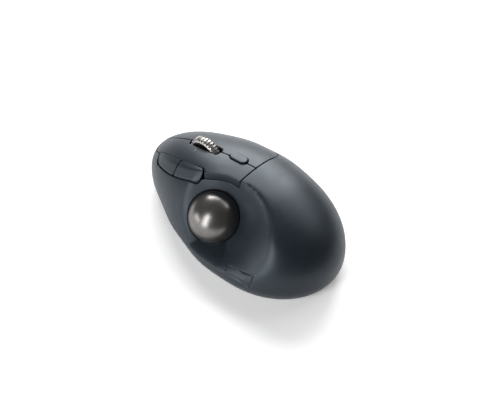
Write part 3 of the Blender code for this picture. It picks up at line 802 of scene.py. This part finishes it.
def moulded(name, dark, light, roughness, grain=0.1, size=2600.0, **fixed):
    """Spark-eroded moulded plastic: a fine even grain and a slow drift in tone and gloss."""
    m = Nodes(name)
    slow = m.noise(26.0, 2.0)
    fine = m.noise(size, 3.0, 0.6)
    speck = m.noise(size * 0.35, 2.0, 0.6)
    colour = m.blend(m.spread(slow, 0.0, 1.0), dark, light)
    colour = m.blend(m.spread(speck, 0.0, 0.14, 0.35, 0.75), colour, tuple(min(1.0, 1.9 * c) for c in light))
    rough = m.spread(m.noise(160.0, 4.0, 0.6), roughness - 0.03, roughness + 0.03)
    normal = m.bump(fine, grain, 0.00006)
    return m.finish(colour, rough, m.bump(speck, grain * 0.5, 0.00009, normal), **fixed)


def metal(name, dark, light, roughness, along=(1, 1, 1), streak=700.0, strength=0.15, **fixed):
    """Machined metal with fine tool marks."""
    m = Nodes(name)
    marks = m.noise(streak, 4.0, 0.7, m.stretch(along))
    colour = m.blend(m.spread(marks, 0.0, 1.0), dark, light)
    rough = m.spread(m.noise(900.0, 3.0), roughness - 0.05, roughness + 0.05)
    return m.finish(colour, rough, m.bump(marks, strength, 0.00004), Metallic=1.0, **fixed)


def ball_material():
    """Pearl resin: metal flake in a dark binder under a polished, slightly hazed surface."""
    m = Nodes("ball_pearl")
    cells = m.add("ShaderNodeTexVoronoi", {"Vector": m.place, "Scale": 4200.0, "Randomness": 1.0})
    flake = m.spread(cells.outputs["Distance"], 0.0, 1.0, 0.1, 0.7)
    cloud = m.noise(120.0, 4.0, 0.6)
    colour = m.blend(m.spread(cloud, 0.0, 1.0), (0.13, 0.125, 0.12), (0.16, 0.155, 0.149))
    colour = m.blend(m.spread(flake, 0.0, 0.1), colour, (0.3, 0.29, 0.28))
    rough = m.spread(m.noise(260.0, 2.0, 0.5), 0.28, 0.31)
    return m.finish(colour, rough, m.bump(flake, 0.004, 0.00004), Metallic=0.85)


def board_material():
    """Circuit board: solder mask over tracks, with a grid of plated pads."""
    m = Nodes("board_mask")
    tracks = m.add("ShaderNodeTexWave", {"Vector": m.place, "Scale": 420.0, "Distortion": 6.0, "Detail": 2.0})
    lines = m.spread(tracks.outputs["Fac"], 0.0, 1.0, 0.45, 0.55)
    colour = m.blend(lines, (0.008, 0.055, 0.03), (0.014, 0.1, 0.05))
    cells = m.add("ShaderNodeTexVoronoi", {"Vector": m.place, "Scale": 380.0, "Randomness": 0.35})
    pads = m.spread(cells.outputs["Distance"], 1.0, 0.0, 0.16, 0.2)
    colour = m.blend(pads, colour, (0.55, 0.42, 0.18))
    return m.finish(colour, m.spread(m.noise(500.0), 0.3, 0.42), m.bump(pads, 0.2, 0.0001))


def clear_material(name, tint, roughness=0.12):
    m = Nodes(name)
    haze = m.noise(900.0, 2.0)
    colour = m.blend(m.spread(haze, 0.0, 1.0), tint, tuple(min(1.0, c * 1.12) for c in tint))
    return m.finish(colour, m.spread(haze, roughness - 0.03, roughness + 0.05), m.bump(haze, 0.04, 0.00005),
                    Transmission_Weight=0.5, IOR=1.49)


PLASTIC = {"Specular_IOR_Level": 0.42, "Specular_Tint": (0.8, 0.91, 1.0, 1.0)}
SLATE = moulded("slate_shell", (0.0085, 0.0125, 0.018), (0.0105, 0.015, 0.021), 0.44, 0.1,
                **PLASTIC)
SLATE_PLATE = moulded("slate_plate", (0.009, 0.013, 0.0185), (0.011, 0.0155, 0.0215), 0.44, 0.1,
                      **PLASTIC)
BLACK = moulded("black_moulding", (0.008, 0.008, 0.01), (0.012, 0.012, 0.014), 0.5, 0.16)
LIP = moulded("lip_rubber", (0.006, 0.006, 0.007), (0.009, 0.009, 0.01), 0.45, 0.2, 3200.0)
FOOT = moulded("glide_ptfe", (0.1, 0.1, 0.11), (0.13, 0.13, 0.14), 0.3, 0.06)
WHITE = moulded("white_acetal", (0.7, 0.69, 0.66), (0.78, 0.77, 0.74), 0.3, 0.05)
WRAP = moulded("cell_wrap", (0.1, 0.16, 0.28), (0.13, 0.2, 0.33), 0.35, 0.2, 1200.0)
RIM = metal("wheel_metal", (0.36, 0.35, 0.34), (0.42, 0.41, 0.4), 0.3, (0.3, 1, 1), 2500.0, 0.02)
STEEL = metal("bright_steel", (0.5, 0.5, 0.51), (0.66, 0.66, 0.67), 0.3, (1, 9, 1), 420.0)
PEARL = ball_material()
BOARD = board_material()
LIGHT = clear_material("lens_light", (0.10, 0.11, 0.12), 0.3)
OPTIC = clear_material("lens_optic", (0.5, 0.52, 0.55), 0.06)


# ------------------------------------------------------------------ camera, floor and light

THETA, TILT = radians(45.8), radians(50)
SCALE = 1.656
DISTANCE = 700.0


def camera():
    right = Vector((cos(THETA), -sin(THETA), 0))
    back = Vector((-sin(THETA) * cos(TILT), -cos(THETA) * cos(TILT), sin(TILT)))
    up = back.cross(right)
    place = Vector((0, 0, 20)) + back * DISTANCE
    data = bpy.data.cameras.new("camera")
    data.sensor_width = 36.0
    data.lens = 36.0 * SCALE * DISTANCE / 500
    data.shift_x = (250 - 242.2) / 500
    data.shift_y = (203.8 - 210) / 500
    data.clip_start, data.clip_end = 0.01, 10
    obj = bpy.data.objects.new("camera", data)
    turn = Matrix((right, up, back)).transposed().to_4x4()
    obj.matrix_world = Matrix.Translation(place * MM) @ turn
    bpy.context.scene.collection.objects.link(obj)
    bpy.context.scene.camera = obj


def softbox(name, place, target, size, power, colour=(1, 1, 1)):
    data = bpy.data.lights.new(name, "AREA")
    data.shape = "RECTANGLE"
    data.size, data.size_y = size
    data.energy = power
    data.color = colour
    obj = bpy.data.objects.new(name, data)
    obj.location = place
    obj.rotation_euler = (Vector(target) - Vector(place)).to_track_quat("-Z", "Y").to_euler()
    bpy.context.scene.collection.objects.link(obj)


def studio():
    scene = bpy.context.scene
    scene.view_settings.view_transform = "Standard"
    world = bpy.data.worlds.new("studio")
    scene.world = world
    world.use_nodes = True
    world.node_tree.nodes["Background"].inputs["Color"].default_value = (1, 1, 1, 1)
    world.node_tree.nodes["Background"].inputs["Strength"].default_value = 0.08
    m = Nodes("floor_paper")
    fibre = m.noise(900.0, 4.0, 0.6)
    paper = m.finish(m.blend(m.spread(fibre, 0.0, 1.0), (0.93, 0.93, 0.93), (0.95, 0.95, 0.95)), 0.8,
                     m.bump(fibre, 0.02, 0.0001), Emission_Color=(1, 1, 1, 1), Emission_Strength=0.22)
    mesh = bpy.data.meshes.new("floor")
    h = 2.5
    mesh.from_pydata([(-h, -h, 0), (h, -h, 0), (h, h, 0), (-h, h, 0)], [], [(0, 1, 2, 3)])
    floor = bpy.data.objects.new("floor", mesh)
    scene.collection.objects.link(floor)
    mesh.materials.append(paper)
    softbox("key", (0.74, 0.68, 0.68), (0, 0, 0.02), (1.0, 0.7), 24)
    softbox("right", (0.76, -0.04, 0.80), (0, 0, 0.03), (0.9, 0.3), 3.5)
    softbox("left", (-0.96, 0.0, 0.46), (-0.02, 0, 0.03), (0.32, 0.9), 9)
    softbox("left_low", (-0.84, 0.60, 0.14), (-0.01, 0, 0.03), (0.5, 0.24), 2.0)


# ------------------------------------------------------------------ assembly

def assemble():
    dress(shell(), "case", SLATE, "upper_shell", slot="slate_plastic")
    left, right = plates()
    dress(left, "left_button", SLATE_PLATE, "left_button", slot="slate_plastic")
    dress(right, "right_button", SLATE_PLATE, "right_button", slot="slate_plastic")
    forward, back = thumb_keys()
    dress(forward, "forward_button", SLATE_PLATE, "forward_button", slot="slate_plastic")
    dress(back, "back_button", SLATE_PLATE, "back_button", slot="slate_plastic")
    dress(pill_key(), "dpi_button", SLATE_PLATE, "dpi_button", slot="slate_plastic")
    dress(ribbed_rim(), "wheel", RIM, "wheel_rim", slot="wheel_metal")
    dress(wheel_core(), "wheel", BLACK, "wheel_hub", slot="black_plastic")
    dress(ball(), "trackball", PEARL, "trackball", slot="ball_metallic")
    dress(socket_lip(), "case", LIP, "socket_ring", slot="lip_rubber")


def dress_nodes():
    """Finishes for the CAD solids that stay as they are."""
    looks = {"base_plate": BLACK, "button_frame": BLACK, "ball_cup": BLACK, "wheel_yoke": BLACK,
             "power_switch": BLACK, "pairing_button": SLATE, "battery": WRAP, "status_lens": LIGHT,
             "sensor_lens": OPTIC, "main_board": BOARD, "side_board": BOARD, "sensor_board": BOARD,
             "wheel_encoder": STEEL, "charge_port": STEEL, "receiver": STEEL}
    for name, node in NODES.items():
        look = looks.get(name)
        if name.startswith("switch_"):
            look = WHITE if name.endswith("_pin") else BLACK
        look = look or {"foot": FOOT, "scre": STEEL, "bear": WHITE}.get(name[:4])
        if look:
            node.data.materials.clear()
            node.data.materials.append(look)


camera()
studio()
assemble()
dress_nodes()
